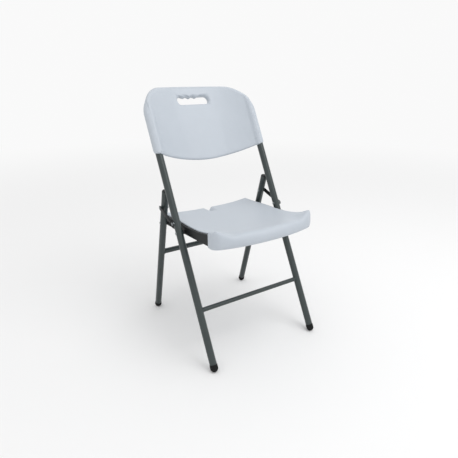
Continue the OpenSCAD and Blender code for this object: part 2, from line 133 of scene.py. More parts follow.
def turned(profile, origin, axis, steps=48):
    """A closed solid of revolution: each (radius, height) of the profile is a circle about the axis,
    and the first and last circles shrink to a point."""
    axis = np.array(axis, float) / np.linalg.norm(axis)
    side = np.cross(axis, (1.0, 0.0, 0.0) if abs(axis[0]) < 0.9 else (0.0, 1.0, 0.0))
    side /= np.linalg.norm(side)
    up = np.cross(axis, side)
    turn = np.linspace(0, 2 * math.pi, steps, endpoint=False)
    circle = np.cos(turn)[:, None] * side + np.sin(turn)[:, None] * up
    radius, height = np.array(profile, float).T
    rings = origin + height[1:-1, None, None] * axis + radius[1:-1, None, None] * circle
    points = np.concatenate([[origin + height[0] * axis], rings.reshape(-1, 3),
                             [origin + height[-1] * axis]])
    count = len(profile) - 2
    wall = surface_faces(count, steps, wrap_columns=True)[:, ::-1] + 1
    j = np.arange(steps)
    k = (j + 1) % steps
    first = np.stack([np.zeros_like(j), k + 1, j + 1], -1)
    last_ring = (count - 1) * steps + 1
    last = np.stack([np.full_like(j, len(points) - 1), last_ring + j, last_ring + k], -1)
    return points, wall.tolist() + first.tolist() + last.tolist()


def mirrored(part):
    """The same part on the other side of the chair: x is negated and each face runs the other way."""
    points, faces = part
    return points * (-1, 1, 1), [list(face)[::-1] for face in faces]


def make_pair(name, part, material, body):
    """A right piece and its mirror image on the left, each in place of its own CAD node."""
    return [make_object(f"{name}_{side}_skin", [half], material, body, [f"{name}_{side}"])
            for side, half in (("right", part), ("left", mirrored(part)))]


def straight_tube(origin, axis, start, end):
    """A round tube as one closed skin: up the outside, over the rim, and down the bore."""
    inner = TUBE_R - TUBE_WALL
    up = np.linspace(start + TUBE_RIM, end - TUBE_RIM, 24)
    profile = [(0, start), (inner, start), (TUBE_R - TUBE_RIM, start)]
    profile += [(TUBE_R, s) for s in up]
    profile += [(TUBE_R - TUBE_RIM, end), (inner, end), (inner, end - TUBE_BORE), (0, end - TUBE_BORE)]
    return turned(profile, origin, axis, 64)


tube_low, tube_high = (np.array(corner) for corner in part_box("front_tube_right"))
TUBE_R = (tube_high[0] - tube_low[0]) / 2
TUBE_WALL = 0.0012
TUBE_RIM = 0.0003
TUBE_BORE = 0.02
HALF_TRACK = (tube_high[0] + tube_low[0]) / 2
SEAT_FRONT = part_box("seat_shell")[0][1]
SEAT_FORWARD = 0.010
FLOOR_LINE = SEAT_FRONT + SEAT_FORWARD
FRONT_LEAN = math.radians(28.66)
front_axis = np.array([0, math.sin(FRONT_LEAN), math.cos(FRONT_LEAN)])
front_origin = np.array([HALF_TRACK, FLOOR_LINE, 0])
frame_coat = powder_coat("frame_powder_coat", "#2a3232", "#374040", 0.30, 0.8)
TUBE_START = 0.0095
TUBE_END = 0.800 / math.cos(FRONT_LEAN)
make_pair("front_tube", straight_tube(front_origin, front_axis, TUBE_START, TUBE_END), frame_coat,
          "front_frame")

# ---------------------------------------------------------------------------------------------
# Crossbars. A thinner round tube joins the two front tubes, and another joins the rear legs.
# Their ends are coped to the round tubes and welded, which leaves a small bead under the coat.


def both_sides(part):
    """A part and its mirror image on the other side of the chair."""
    return [part, mirrored(part)]


def crossbar(node, tube_axis):
    """A bar along X whose ends follow the tube: x = track - sqrt(R^2 - d^2), with d the distance from
    the tube's axis, and a round weld bead swept along each end."""
    low, high = (np.array(corner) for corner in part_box(node))
    radius = (high[2] - low[2]) / 2
    centre = (low + high) / 2
    along = np.array([1.0, 0, 0])
    turn = np.linspace(0, 2 * math.pi, 64, endpoint=False)
    ring = np.stack([np.zeros_like(turn), np.cos(turn), np.sin(turn)], -1) * radius
    across = ring @ np.cross(along, tube_axis)
    end = HALF_TRACK - np.sqrt(TUBE_R ** 2 - across ** 2)
    shares = np.concatenate([[-1.0], np.linspace(-0.98, 0.98, 20), [1.0]])
    rings = ring[None] + centre + shares[:, None, None] * end[None, :, None] * along
    count = len(turn)
    points = np.concatenate([rings.reshape(-1, 3),
                             [centre - (end.min(), 0, 0), centre + (end.min(), 0, 0)]])
    j = np.arange(count)
    k = (j + 1) % count
    last = (len(shares) - 1) * count
    faces = surface_faces(len(shares), count, wrap_columns=True)[:, ::-1].tolist()
    faces += np.stack([j, np.full_like(j, len(points) - 2), k], -1).tolist()
    faces += np.stack([last + k, np.full_like(j, len(points) - 1), last + j], -1).tolist()
    small = np.linspace(0, 2 * math.pi, 12, endpoint=False)
    out = ring / radius
    seam = ring + centre + end[:, None] * along - (WELD_INSET, 0, 0)
    bead = (seam[:, None] + WELD_R * (np.cos(small)[None, :, None] * out[:, None]
                                      + np.sin(small)[None, :, None] * along)).reshape(-1, 3)
    return [(points, faces)] + both_sides((bead, surface_faces(count, 12, True, True).tolist()))


WELD_R = 0.0016
WELD_INSET = 0.0006
REAR_LEAN = math.radians(16.0)
rear_axis = np.array([0, -math.sin(REAR_LEAN), math.cos(REAR_LEAN)])
make_object("front_crossbar_skin", crossbar("front_crossbar", front_axis), frame_coat,
            "front_frame", ["front_crossbar"])
make_object("rear_crossbar_skin", crossbar("rear_crossbar", rear_axis), frame_coat,
            "rear_frame", ["rear_crossbar"])

# ---------------------------------------------------------------------------------------------
# Rear legs. The same tube, leaning forward, with a black plastic plug pressed into each top end.
# The plug's low dome stands just behind the front tube when the chair is open.


def moulded_plastic(name, colour, roughness, grain):
    """Injection-moulded plastic. It gives the eye a matt black with a fine even grain, and a gloss that
    wanders over about 17 mm (scale 60). The mould's own grain is under 0.2 mm, and is drawn at about
    1.1 mm (scale 900) so that it shows."""
    material, tree, output = new_material(name)
    place = add_node(tree, "ShaderNodeTexCoord").outputs["Object"]
    fine = add_node(tree, "ShaderNodeTexNoise", Vector=place, Scale=900.0, Detail=2.0)
    bump = add_node(tree, "ShaderNodeBump", Strength=grain, Distance=0.0003, Height=fine.outputs["Fac"])
    slow = add_node(tree, "ShaderNodeTexNoise", Vector=place, Scale=60.0, Detail=2.0)
    gloss = add_node(tree, "ShaderNodeMapRange", Value=slow.outputs["Fac"],
                     To_Min=roughness - 0.06, To_Max=roughness + 0.06)
    shader = add_node(tree, "ShaderNodeBsdfPrincipled", Base_Color=linear(colour),
                      Roughness=gloss.outputs["Result"], IOR=1.49, Normal=bump.outputs["Normal"])
    tree.links.new(shader.outputs[0], output.inputs["Surface"])
    return material


def leg_plug():
    """A plug turned about the leg: a shank in the bore, and a cap whose radius falls as the 0.55th
    power of a cosine, which keeps its shoulder square and its top low."""
    bore_r = TUBE_R - TUBE_WALL - PLUG_FIT
    bow = np.linspace(0, math.pi / 2, 12)
    dome = [(PLUG_R * math.cos(a) ** 0.55, REAR_TUBE_END + PLUG_CAP * math.sin(a)) for a in bow[:-1]]
    profile = [(0, REAR_TUBE_END - PLUG_DEPTH), (bore_r, REAR_TUBE_END - PLUG_DEPTH),
               (bore_r, REAR_TUBE_END), *dome, (0, REAR_TUBE_END + PLUG_CAP)]
    return turned(profile, rear_origin, rear_axis)


STANCE = 0.486
REAR_TUBE_START = 0.0087
REAR_TUBE_END = 0.545 / math.cos(REAR_LEAN)
PLUG_CAP = 0.0034
PLUG_DEPTH = 0.017
PLUG_FIT = 0.0002
PLUG_R = TUBE_R - 0.0006
rear_origin = np.array([HALF_TRACK, FLOOR_LINE + STANCE, 0])
make_pair("rear_leg", straight_tube(rear_origin, rear_axis, REAR_TUBE_START, REAR_TUBE_END), frame_coat,
          "rear_frame")
plug_black = moulded_plastic("plug_polypropylene", "#1c1d1f", 0.48, 0.15)
make_pair("leg_plug", leg_plug(), plug_black, "rear_frame")

# ---------------------------------------------------------------------------------------------
# Feet. A black rubber cup is pushed over the lower end of each tube. It has a rolled mouth, a
# straight wall and a round underside that has worn flat where it stands.


def moulded_rubber(name, colour, scuffed):
    """Moulded rubber. It gives the eye a deep matt black, slightly dusty, and paler in specks of about
    4 mm (scale 260) over the lowest 12 mm, where it scuffs on the floor."""
    material, tree, output = new_material(name)
    place = add_node(tree, "ShaderNodeTexCoord").outputs["Object"]
    height = add_node(tree, "ShaderNodeSeparateXYZ", Vector=place).outputs["Z"]
    scuff = add_node(tree, "ShaderNodeMapRange", Value=height, From_Min=0.0, From_Max=0.012,
                     To_Min=0.8, To_Max=0.0)
    specks = add_node(tree, "ShaderNodeTexNoise", Vector=place, Scale=260.0, Detail=3.0)
    amount = add_node(tree, "ShaderNodeMath", {"operation": "MULTIPLY"}, i0=scuff.outputs["Result"],
                      i1=specks.outputs["Fac"])
    mix = add_node(tree, "ShaderNodeMix", {"data_type": "RGBA"}, i0=amount.outputs[0],
                   i6=linear(colour), i7=linear(scuffed))
    bump = add_node(tree, "ShaderNodeBump", Strength=0.2, Distance=0.0003, Height=specks.outputs["Fac"])
    shader = add_node(tree, "ShaderNodeBsdfPrincipled", Base_Color=mix.outputs[2], Roughness=0.7, IOR=1.52,
                      Normal=bump.outputs["Normal"])
    shader.inputs["Specular IOR Level"].default_value = 0.25
    tree.links.new(shader.outputs[0], output.inputs["Surface"])
    return material


def rubber_foot(origin, axis, lean, length, node):
    """A cup turned about the tube: a sphere below its centre, a straight wall, a rolled mouth; the
    part that would reach below the floor is pressed flat on it."""
    radius = (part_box(node)[1][0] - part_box(node)[0][0]) / 2
    centre = math.sqrt(radius ** 2 - FOOT_PATCH_R ** 2) / math.cos(lean)
    bowl = np.linspace(-math.pi / 2, 0, 20)[1:]
    rim = np.linspace(-0.3, math.pi, 10)
    middle = (radius + TUBE_R) / 2
    half = (radius - TUBE_R) / 2
    profile = [(0, centre - radius)]
    profile += [(radius * math.cos(a), centre + radius * math.sin(a)) for a in bowl]
    profile += [(radius, length - FOOT_ROLL * 3), (radius - 0.0002, length - FOOT_ROLL * 2.4)]
    profile += [(middle + half * math.cos(a), length - FOOT_ROLL + FOOT_ROLL * math.sin(a)) for a in rim]
    profile += [(TUBE_R + 0.00002, length - FOOT_MOUTH), (0, length - FOOT_MOUTH)]
    points, faces = turned(profile, origin, axis, 64)
    points[:, 2] = np.maximum(points[:, 2], 0.0)
    return points, faces


FOOT_PATCH_R = 0.0055
FOOT_ROLL = 0.0011
FOOT_MOUTH = 0.006
FRONT_FOOT = 0.026
REAR_FOOT = 0.020
foot_rubber = moulded_rubber("foot_rubber_black", "#0a0a0c", "#303030")
make_pair("front_foot", rubber_foot(front_origin, front_axis, FRONT_LEAN, FRONT_FOOT, "front_foot_right"),
          foot_rubber, "front_frame")
make_pair("rear_foot", rubber_foot(rear_origin, rear_axis, REAR_LEAN, REAR_FOOT, "rear_foot_right"),
          foot_rubber, "rear_frame")

# ---------------------------------------------------------------------------------------------
# Link bars. Flat steel bars 2.5 mm thick with round ends, blanked from strip, join the front tubes
# to the tops of the rear legs, outside the tubes. Their edges are tumbled round before coating.


def centre_of(node):
    """Middle of a CAD node's box, as a point on the chair's middle plane."""
    low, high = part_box(node)
    return np.array([0.0, (low[1] + high[1]) / 2, (low[2] + high[2]) / 2])


def link_bar():
    """A stadium outline, half circles about the two rivets joined by straight sides, in four layers:
    the outer two are drawn in by the edge radius."""
    low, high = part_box("link_bar_right")
    link_front, link_rear = centre_of("link_front_rivets"), centre_of("link_rear_rivets")
    run = link_rear - link_front
    along = run / np.linalg.norm(run)
    aside = np.cross((1.0, 0, 0), along)
    half = np.linspace(-math.pi / 2, math.pi / 2, 24)
    unit = np.concatenate([np.cos(half)[:, None] * along + np.sin(half)[:, None] * aside,
                           -np.cos(half)[:, None] * along - np.sin(half)[:, None] * aside])
    centres = np.concatenate([np.repeat(link_rear[None], 24, 0), np.repeat(link_front[None], 24, 0)])
    layers = [(low[0], LINK_R - LINK_EDGE), (low[0] + LINK_EDGE, LINK_R), (high[0] - LINK_EDGE, LINK_R),
              (high[0], LINK_R - LINK_EDGE)]
    rings = np.stack([centres + unit * r + (x, 0, 0) for x, r in layers])
    count = len(unit)
    faces = surface_faces(4, count, wrap_columns=True)[:, ::-1].tolist()
    faces += [list(range(count - 1, -1, -1)), list(range(3 * count, 4 * count))]
    return rings.reshape(-1, 3), faces


def keep_edges_sharp(pieces, name):
    """Stops smooth shading from running over edges of more than 50 degrees."""
    for piece in pieces:
        split = piece.modifiers.new(name, "EDGE_SPLIT")
        split.split_angle = math.radians(50)


LINK_R = 0.008
LINK_EDGE = 0.0006
# The coat of the link bars, seat rails and seat braces is partly a darker paint and partly painted shade:
# its colour is darkened to stand for the shade on the rails' side faces.
dark_coat_with_painted_shade = powder_coat("dark_powder_coat_with_painted_shade", "#101314", "#171a1b", 0.46, 0.3)
keep_edges_sharp(make_pair("link_bar", link_bar(), dark_coat_with_painted_shade, "link_bars"), "sharp_faces")

# ---------------------------------------------------------------------------------------------
# Rivets, washers and spacers. Solid rivets with low domed heads hold the linkage, with plated
# washers beside the link bars and black nylon spacers between the tubes and the seat rails.


def plated_steel(name, colour):
    """Zinc-plated steel. It gives the eye a dull grey metal with fine tumbling marks. The marks are
    under 0.5 mm, and are drawn at about 1.4 mm (scale 700) so that they show."""
    material, tree, output = new_material(name)
    place = add_node(tree, "ShaderNodeTexCoord").outputs["Object"]
    marks = add_node(tree, "ShaderNodeTexNoise", Vector=place, Scale=700.0, Detail=4.0)
    bump = add_node(tree, "ShaderNodeBump", Strength=0.15, Distance=0.0002, Height=marks.outputs["Fac"])
    gloss = add_node(tree, "ShaderNodeMapRange", Value=marks.outputs["Fac"], To_Min=0.28, To_Max=0.48)
    shader = add_node(tree, "ShaderNodeBsdfPrincipled", Base_Color=linear(colour), Metallic=1.0,
                      Roughness=gloss.outputs["Result"], Normal=bump.outputs["Normal"])
    tree.links.new(shader.outputs[0], output.inputs["Surface"])
    return material


def rivet(node):
    """A shank between two domed heads, turned about X: each head is a flattened quarter ellipse."""
    low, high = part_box(node)
    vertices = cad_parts[node].data.vertices
    spots = np.empty(3 * len(vertices))
    vertices.foreach_get("co", spots)
    right_side = spots[::3][spots[::3] > 0]
    inner, outer = right_side.min(), right_side.max()
    head_r = (high[2] - low[2]) / 2
    bow = np.linspace(0, math.pi / 2, 14)
    profile = [(0, inner)]
    profile += [(head_r * math.sin(a), inner + HEAD_H * (1 - math.cos(a))) for a in bow[1:]]
    profile += [(SHANK_R, inner + HEAD_H + 0.0001), (SHANK_R, outer - HEAD_H - 0.0001)]
    profile += [(head_r * math.cos(a), outer - HEAD_H + HEAD_H * math.sin(a)) for a in bow[:-1]]
    profile += [(0, outer)]
    return turned(profile, centre_of(node), (1.0, 0, 0), 32)


def finish_nodes(nodes, material):
    """Gives CAD nodes whose shape is right their finish."""
    for node in nodes:
        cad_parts[node].data.materials.clear()
        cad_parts[node].data.materials.append(material)


HEAD_H = 0.0022
SHANK_R = 0.0035
zinc = plated_steel("zinc_plate", "#8b9092")
nylon = moulded_plastic("nylon_black", "#202123", 0.4, 0.1)
for node, body in (("link_front_rivets", "front_frame"), ("link_rear_rivets", "rear_frame"),
                   ("seat_front_rivets", "front_frame"), ("seat_rear_rivets", "rear_frame")):
    make_object(f"{node}_skin", both_sides(rivet(node)), zinc, body, [node])
finish_nodes(["link_front_washers", "link_rear_washers"], zinc)
finish_nodes(["seat_front_spacers", "seat_rear_spacers"], nylon)

# ---------------------------------------------------------------------------------------------
# Seat rails. Each is pressed from 1.6 mm sheet into a channel with round shoulders, open towards
# the middle, and is riveted to a front tube and a rear leg. Its top follows the seat's side edge.


def curve_through(x, knots):
    """Smooth curve through (position, value) knots: cubic Hermite with slopes from the neighbours."""
    px, pv = np.array(knots, float).T
    slope = np.gradient(pv, px)
    x = np.clip(x, px[0], px[-1])
    i = np.clip(np.searchsorted(px, x, side="right") - 1, 0, len(px) - 2)
    h = px[i + 1] - px[i]
    t = (x - px[i]) / h
    return ((2 * t ** 3 - 3 * t ** 2 + 1) * pv[i] + (t ** 3 - 2 * t ** 2 + t) * h * slope[i]
            + (3 * t ** 2 - 2 * t ** 3) * pv[i + 1] + (t ** 3 - t ** 2) * h * slope[i + 1])


def rail_centre(y):
    """Height of the rail's centre line: a straight line that falls to the rear."""
    return seat_pivot[2] + RAIL_LIFT - (y - seat_pivot[1]) * math.tan(RAIL_TILT)


def rail_outline(inset):
    """The channel's outline, drawn in by the inset: a rounded square that is missing its inner side."""
    half = RAIL_DEPTH / 2
    quarter = np.linspace(0, math.pi / 2, 9)
    r = RAIL_CORNER - inset
    x_corner, z_corner = rail_out - RAIL_CORNER, half - RAIL_CORNER
    top = np.stack([x_corner + r * np.sin(quarter), z_corner + r * np.cos(quarter)], -1)
    low = np.stack([x_corner + r * np.cos(quarter), -z_corner - r * np.sin(quarter)], -1)
    return np.concatenate([[(rail_in, half - inset)], top, low, [(rail_in, -half + inset)]])


def rail_channel():
    """The outline is drawn twice, once inset by the sheet's thickness, and carried along the tilted
    rail. The upper half is raised or lowered so that the top keeps a fixed distance under the seat's
    side edge."""
    loop = np.concatenate([rail_outline(0), rail_outline(RAIL_WALL)[::-1]])
    count = len(loop)
    stations = np.linspace(RAIL_FRONT, RAIL_REAR, 60)
    rows = np.stack([np.broadcast_to(loop[:, 0], (len(stations), count)),
                     stations[:, None] + loop[:, 1] * math.sin(RAIL_TILT),
                     rail_centre(stations)[:, None] + loop[:, 1] * math.cos(RAIL_TILT)], -1)
    rise = (curve_through(stations - FLOOR_LINE, SIDE_LINE) - UNDER_EDGE
            - rail_centre(stations) - RAIL_DEPTH / 2 / math.cos(RAIL_TILT))
    rows[:, :, 2] += np.maximum(rise, -RAIL_MOST_DROP)[:, None] * (loop[:, 1] > 0)
    last = (len(stations) - 1) * count
    j = np.arange(count // 2 - 1)
    cap = np.stack([j, j + 1, count - 2 - j, count - 1 - j], -1)
    sides = surface_faces(len(stations), count, wrap_columns=True)
    return rows.reshape(-1, 3), np.concatenate([sides, cap, cap[:, ::-1] + last])[:, ::-1].tolist()


RAIL_TILT = math.radians(5.2)
RAIL_LIFT = 0.0062
RAIL_WALL = 0.0016
RAIL_CORNER = 0.005
RAIL_DEPTH = 0.031
RAIL_MOST_DROP = 0.0015
LIP_REAR = FLOOR_LINE + 0.058
RAIL_FRONT = LIP_REAR + 0.004
RAIL_REAR = FLOOR_LINE + 0.395
UNDER_EDGE = 0.0045
# Height of the seat's side edge over the distance behind the front tubes' floor line
SIDE_LINE = [(0.010, 0.491), (0.035, 0.488), (0.054, 0.479), (0.076, 0.470), (0.113, 0.460),
             (0.160, 0.452), (0.215, 0.447), (0.280, 0.4445), (0.350, 0.4385), (0.420, 0.435)]
seat_pivot = centre_of("seat_front_rivets")
rail_in, rail_out = (corner[0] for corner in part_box("seat_rail_right"))
# The rails take the darker coat, whose colour carries painted shade for their side faces.
keep_edges_sharp(make_pair("seat_rail", rail_channel(), dark_coat_with_painted_shade, "seat"), "sharp_edges")

# ---------------------------------------------------------------------------------------------
# Seat braces and their screws. Two flat strips cross under the seat from rail to rail, coated
# like the rails, and plated pan-head screws go up through them into the shell.

finish_nodes(["seat_brace_front", "seat_brace_rear"], dark_coat_with_painted_shade)
finish_nodes(["seat_screws"], zinc)

# ---------------------------------------------------------------------------------------------
# Seat shell. One hollow blow moulding in white polyethylene, screwed to the braces: a dished top,
# raised corners at the front, a deep rolled front lip, and a groove in the rear edge.


def smooth_step(t):
    """0 up to t = 0, 1 from t = 1, and 3 t^2 - 2 t^3 between them."""
    t = np.clip(t, 0, 1)
    return t * t * (3 - 2 * t)


def quarter_round(distance, radius):
    """0 at the edge, 1 from one radius inwards, along a quarter circle."""
    q = np.clip(1 - distance / radius, 0, 1)
    return np.sqrt(1 - q * q)


def front_edge(x):
    """Front edge in plan: bowed back towards the corners by a power of x, then a round corner."""
    over = np.clip(np.abs(x) - LIP_HALF + CORNER_R, 0, CORNER_R)
    return (SEAT_FRONT + LIP_SET_BACK + (FRONT_BOW - LIP_SET_BACK) * (np.abs(x) / LIP_HALF) ** 2.2
            + CORNER_R - np.sqrt(CORNER_R ** 2 - over ** 2))


def groove_share(x):
    """Share of the groove's depth: 1 in the middle, straight flanks, and shoulders eased by a parabola."""
    v = np.clip(1 - np.abs(x) / GROOVE_HALF, 0, 0.94)
    return np.where(v < 0.35, v * v / 0.7, v - 0.175) / 0.765


def seat_top(x, y):
    """Height of the top: the centre line rises to the side line by |x| cubed, dips beside the front
    corners, and falls into a V groove at the rear edge."""
    reach = y - FLOOR_LINE
    low = curve_through(reach, CENTRE_LINE)
    side = curve_through(reach, SIDE_LINE)
    share = np.clip(np.abs(x) / SEAT_HALF, 0, 1) ** 3
    dip = DIP_DEPTH * np.exp(-((np.abs(x) - DIP_X) / DIP_WIDTH) ** 2)
    dip = dip * (1 - smooth_step((reach - 0.020) / 0.060))
    groove = GROOVE_DEPTH * groove_share(x) * smooth_step((y - SEAT_REAR + GROOVE_RUN) / GROOVE_RUN)
    return low + share * (side - low) - dip - groove


def seat_under(y):
    """Height of the underside: level under the lip, then the plane of the rails' undersides."""
    flat = rail_centre(y) - RAIL_DEPTH / 2 / math.cos(RAIL_TILT)
    k = smooth_step((y - LIP_REAR) / 0.025)
    return LIP_BOTTOM * (1 - k) + flat * k


def seat_shell():
    """Rows from front to rear; each row is a loop over the top, down one side, and back underneath.
    Edges are rounded by quarter circles: the front lip most, the sides and the rear less."""
    across = np.sin(np.linspace(-math.pi / 2, math.pi / 2, 161))
    across = np.concatenate([across[np.abs(across) > 0.13], np.linspace(-0.125, 0.125, 51)])
    across = np.unique(np.round(across, 5))
    lip = LIP_REAR - SEAT_FRONT
    depth = SEAT_REAR - SEAT_FRONT
    round_in = LIP_ROUND * (1 - np.cos(np.linspace(0, math.pi / 2, 26)))
    on_lip = np.linspace(LIP_ROUND, lip - LIP_STEP, 12)[1:]
    step = np.linspace(lip - LIP_STEP, lip + 0.001, 9)[1:]
    middle = np.linspace(lip + 0.001, depth - REAR_ROUND, 90)[1:]
    round_out = depth - REAR_ROUND * (1 - np.sin(np.linspace(0, math.pi / 2, 14)[1:]))
    front = np.concatenate([round_in, on_lip, step, middle, round_out])[:, None]
    rear = depth - front
    half = SEAT_HALF + (LIP_HALF - SEAT_HALF) * (1 - smooth_step((front - lip + LIP_STEP) / LIP_STEP))
    x = across[None, :] * half
    side = half - np.abs(x)
    y = SEAT_FRONT + front + (front_edge(x) - SEAT_FRONT) * (1 - front / lip).clip(0, 1)
    y = y - 0.004 * groove_share(x) * smooth_step((y - SEAT_REAR + 0.025) / 0.025)
    top, low = seat_top(x, y), seat_under(y)
    on_top = 0.0035 + 0.0125 * (1 - smooth_step((front - lip + 0.012) / 0.012))
    top = top - on_top * (1 - quarter_round(side, on_top)) - 0.003 * (1 - quarter_round(rear, 0.004))
    low = low + 0.004 * (1 - quarter_round(side, 0.004)) + 0.003 * (1 - quarter_round(rear, 0.006))
    high = NOSE_HEIGHT + 0.0002 + (top - NOSE_HEIGHT) * quarter_round(front, LIP_ROUND) ** 0.85
    base = NOSE_HEIGHT - 0.0002 + (low - NOSE_HEIGHT) * quarter_round(front, 0.016)
    upper = np.stack([x, y, high], -1)
    lower = np.stack([x, y, base], -1)[:, ::-1]
    rows = np.concatenate([upper, lower], 1)
    m, n = rows.shape[:2]
    faces = surface_faces(m, n, wrap_columns=True)[:, ::-1].tolist()
    j = np.arange(n // 2 - 1)
    cap = np.stack([j, j + 1, n - 2 - j, n - 1 - j], -1)
    faces += cap[:, ::-1].tolist() + (cap + (m - 1) * n).tolist()
    return rows.reshape(-1, 3), faces


def blown_polyethylene(name, colour, shade):
    """Blow-moulded polyethylene. It gives the eye a satin white, faintly cloudy over about 70 mm (scale
    14) and soft at its edges where light enters it, with the mould's leather grain of about 3 mm cells
    (scale 330), broken up by a finer grain of about 1.4 mm (scale 700)."""
    material, tree, output = new_material(name)
    place = add_node(tree, "ShaderNodeTexCoord").outputs["Object"]
    cloud = add_node(tree, "ShaderNodeTexNoise", Vector=place, Scale=14.0, Detail=4.0,
                     Roughness=0.6)
    mix = add_node(tree, "ShaderNodeMix", {"data_type": "RGBA"}, i0=cloud.outputs["Fac"],
                   i6=linear(shade), i7=linear(colour))
    cells = add_node(tree, "ShaderNodeTexVoronoi", {"feature": "SMOOTH_F1"}, Vector=place, Scale=330.0)
    fine = add_node(tree, "ShaderNodeTexNoise", Vector=place, Scale=700.0, Detail=3.0)
    grain = add_node(tree, "ShaderNodeMath", {"operation": "MULTIPLY_ADD"},
                     i0=cells.outputs["Distance"], i1=0.7, i2=fine.outputs["Fac"])
    bump = add_node(tree, "ShaderNodeBump", Strength=0.18, Distance=0.0005, Height=grain.outputs[0])
    gloss = add_node(tree, "ShaderNodeMapRange", Value=cloud.outputs["Fac"], To_Min=0.40, To_Max=0.54)
    shader = add_node(tree, "ShaderNodeBsdfPrincipled", Base_Color=mix.outputs[2],
                      Roughness=gloss.outputs["Result"], IOR=1.53, Normal=bump.outputs["Normal"])
    shader.inputs["Subsurface Weight"].default_value = 0.12
    shader.inputs["Subsurface Radius"].default_value = (0.006, 0.006, 0.006)
    shader.inputs["Subsurface Scale"].default_value = 1.0
    tree.links.new(shader.outputs[0], output.inputs["Surface"])
    return material


SEAT_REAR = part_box("seat_shell")[1][1]
SEAT_HALF = rail_in + 0.0010
# Height of the top's centre line over the distance behind the front tubes' floor line
CENTRE_LINE = [(-0.010, 0.469), (0.010, 0.470), (0.040, 0.464), (0.100, 0.449), (0.180, 0.436),
               (0.260, 0.429), (0.350, 0.426), (0.420, 0.4235)]
FRONT_BOW = 0.034
CORNER_R = 0.026
LIP_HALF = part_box("seat_shell")[1][0]
LIP_BOTTOM = 0.427
LIP_SET_BACK = 0.0006
LIP_ROUND = 0.024
LIP_STEP = 0.003
NOSE_HEIGHT = 0.4455
REAR_ROUND = 0.012
GROOVE_HALF = 0.021
GROOVE_DEPTH = 0.0190
GROOVE_RUN = 0.068
DIP_DEPTH = 0.009
DIP_X = 0.135
DIP_WIDTH = 0.032
white_shell = blown_polyethylene("blown_polyethylene_white", "#b9c0c8", "#b2b9c1")
make_object("seat_shell_skin", [seat_shell()], white_shell, "seat", ["seat_shell"])

# ---------------------------------------------------------------------------------------------
# Back panel. One hollow blow moulding in the same white: a web curved round the sitter's back, a
# round sleeve down each side that slides over a front tube, large upper corners, and a hand hole
# with finger grips. Screws from behind hold it on the tubes.


def ray_lengths(outline, centre, angles):
    """Distance from the centre to a closed outline along each angle, read off the outline's own angles."""
    offset = outline - centre
    around = np.unwrap(np.arctan2(offset[:, 1], offset[:, 0]))
    reach = np.hypot(offset[:, 0], offset[:, 1])
    order = np.argsort(around)
    around, reach = around[order], reach[order]
    spread = np.concatenate([around - 2 * math.pi, around, around + 2 * math.pi])
    return np.interp(angles, spread, np.tile(reach, 3))


def arc(centre, radius, start, end, count):
    """Points of a circular arc, with its ends in degrees."""
    turn = np.radians(np.linspace(start, end, count))
    return np.stack([centre[0] + radius * np.cos(turn), centre[1] + radius * np.sin(turn)], -1)


def straight(start, end, count):
    """Points of a straight line, without its end."""
    return np.linspace(start, end, count, endpoint=False)


def back_outline():
    """Outline from the front, anticlockwise: sides, quarter-circle upper corners, and a lower edge that
    is an arc from sleeve to sleeve."""
    bow = (HALF_TRACK ** 2 + BACK_RISE ** 2) / (2 * BACK_RISE)
    half_turn = math.degrees(math.asin(HALF_TRACK / bow))
    low = BACK_BOTTOM + BACK_RISE
    nip = SLEEVE_NIP
    inner_x = BACK_HALF - BACK_CORNER
    corner_z = BACK_TOP - BACK_CORNER
    return np.concatenate([
        arc((0, BACK_BOTTOM + bow), bow, -90 - half_turn, -90 + half_turn, 400)[:-1],
        straight((HALF_TRACK, low), (BACK_HALF - nip, low), 20),
        arc((BACK_HALF - nip, low + nip), nip, -90, 0, 12)[:-1],
        straight((BACK_HALF, low + nip), (BACK_HALF, corner_z), 120),
        arc((inner_x, corner_z), BACK_CORNER, 0, 90, 160)[:-1],
        straight((inner_x, BACK_TOP), (-inner_x, BACK_TOP), 240),
        arc((-inner_x, corner_z), BACK_CORNER, 90, 180, 160)[:-1],
        straight((-BACK_HALF, corner_z), (-BACK_HALF, low + nip), 120),
        arc((-BACK_HALF + nip, low + nip), nip, 180, 270, 12)[:-1],
        straight((-BACK_HALF + nip, low), (-HALF_TRACK, low), 20)])


def hand_outline(tooth_depth):
    """A slot with round ends. Its upper edge has three blunt teeth between the finger grips, each a
    bell curve of the given depth."""
    top = straight((HAND_HALF - HAND_R, HAND_Z + HAND_R), (-HAND_HALF + HAND_R, HAND_Z + HAND_R), 200)
    for tooth_x in TEETH_X:
        top[:, 1] -= tooth_depth * np.exp(-((top[:, 0] - tooth_x) / TOOTH_WIDTH) ** 2)
    return np.concatenate([
        arc((HAND_HALF - HAND_R, HAND_Z), HAND_R, -90, 90, 80)[:-1], top,
        arc((-HAND_HALF + HAND_R, HAND_Z), HAND_R, 90, 270, 80)[:-1],
        straight((-HAND_HALF + HAND_R, HAND_Z - HAND_R), (HAND_HALF - HAND_R, HAND_Z - HAND_R), 120)])


def soft_min(a, b):
    """The smaller of two depths, with the corner between them rounded over the sleeves' blend."""
    h = np.clip(0.5 + 0.5 * (b - a) / SLEEVE_BLEND, 0, 1)
    return b * (1 - h) + a * h - SLEEVE_BLEND * h * (1 - h)


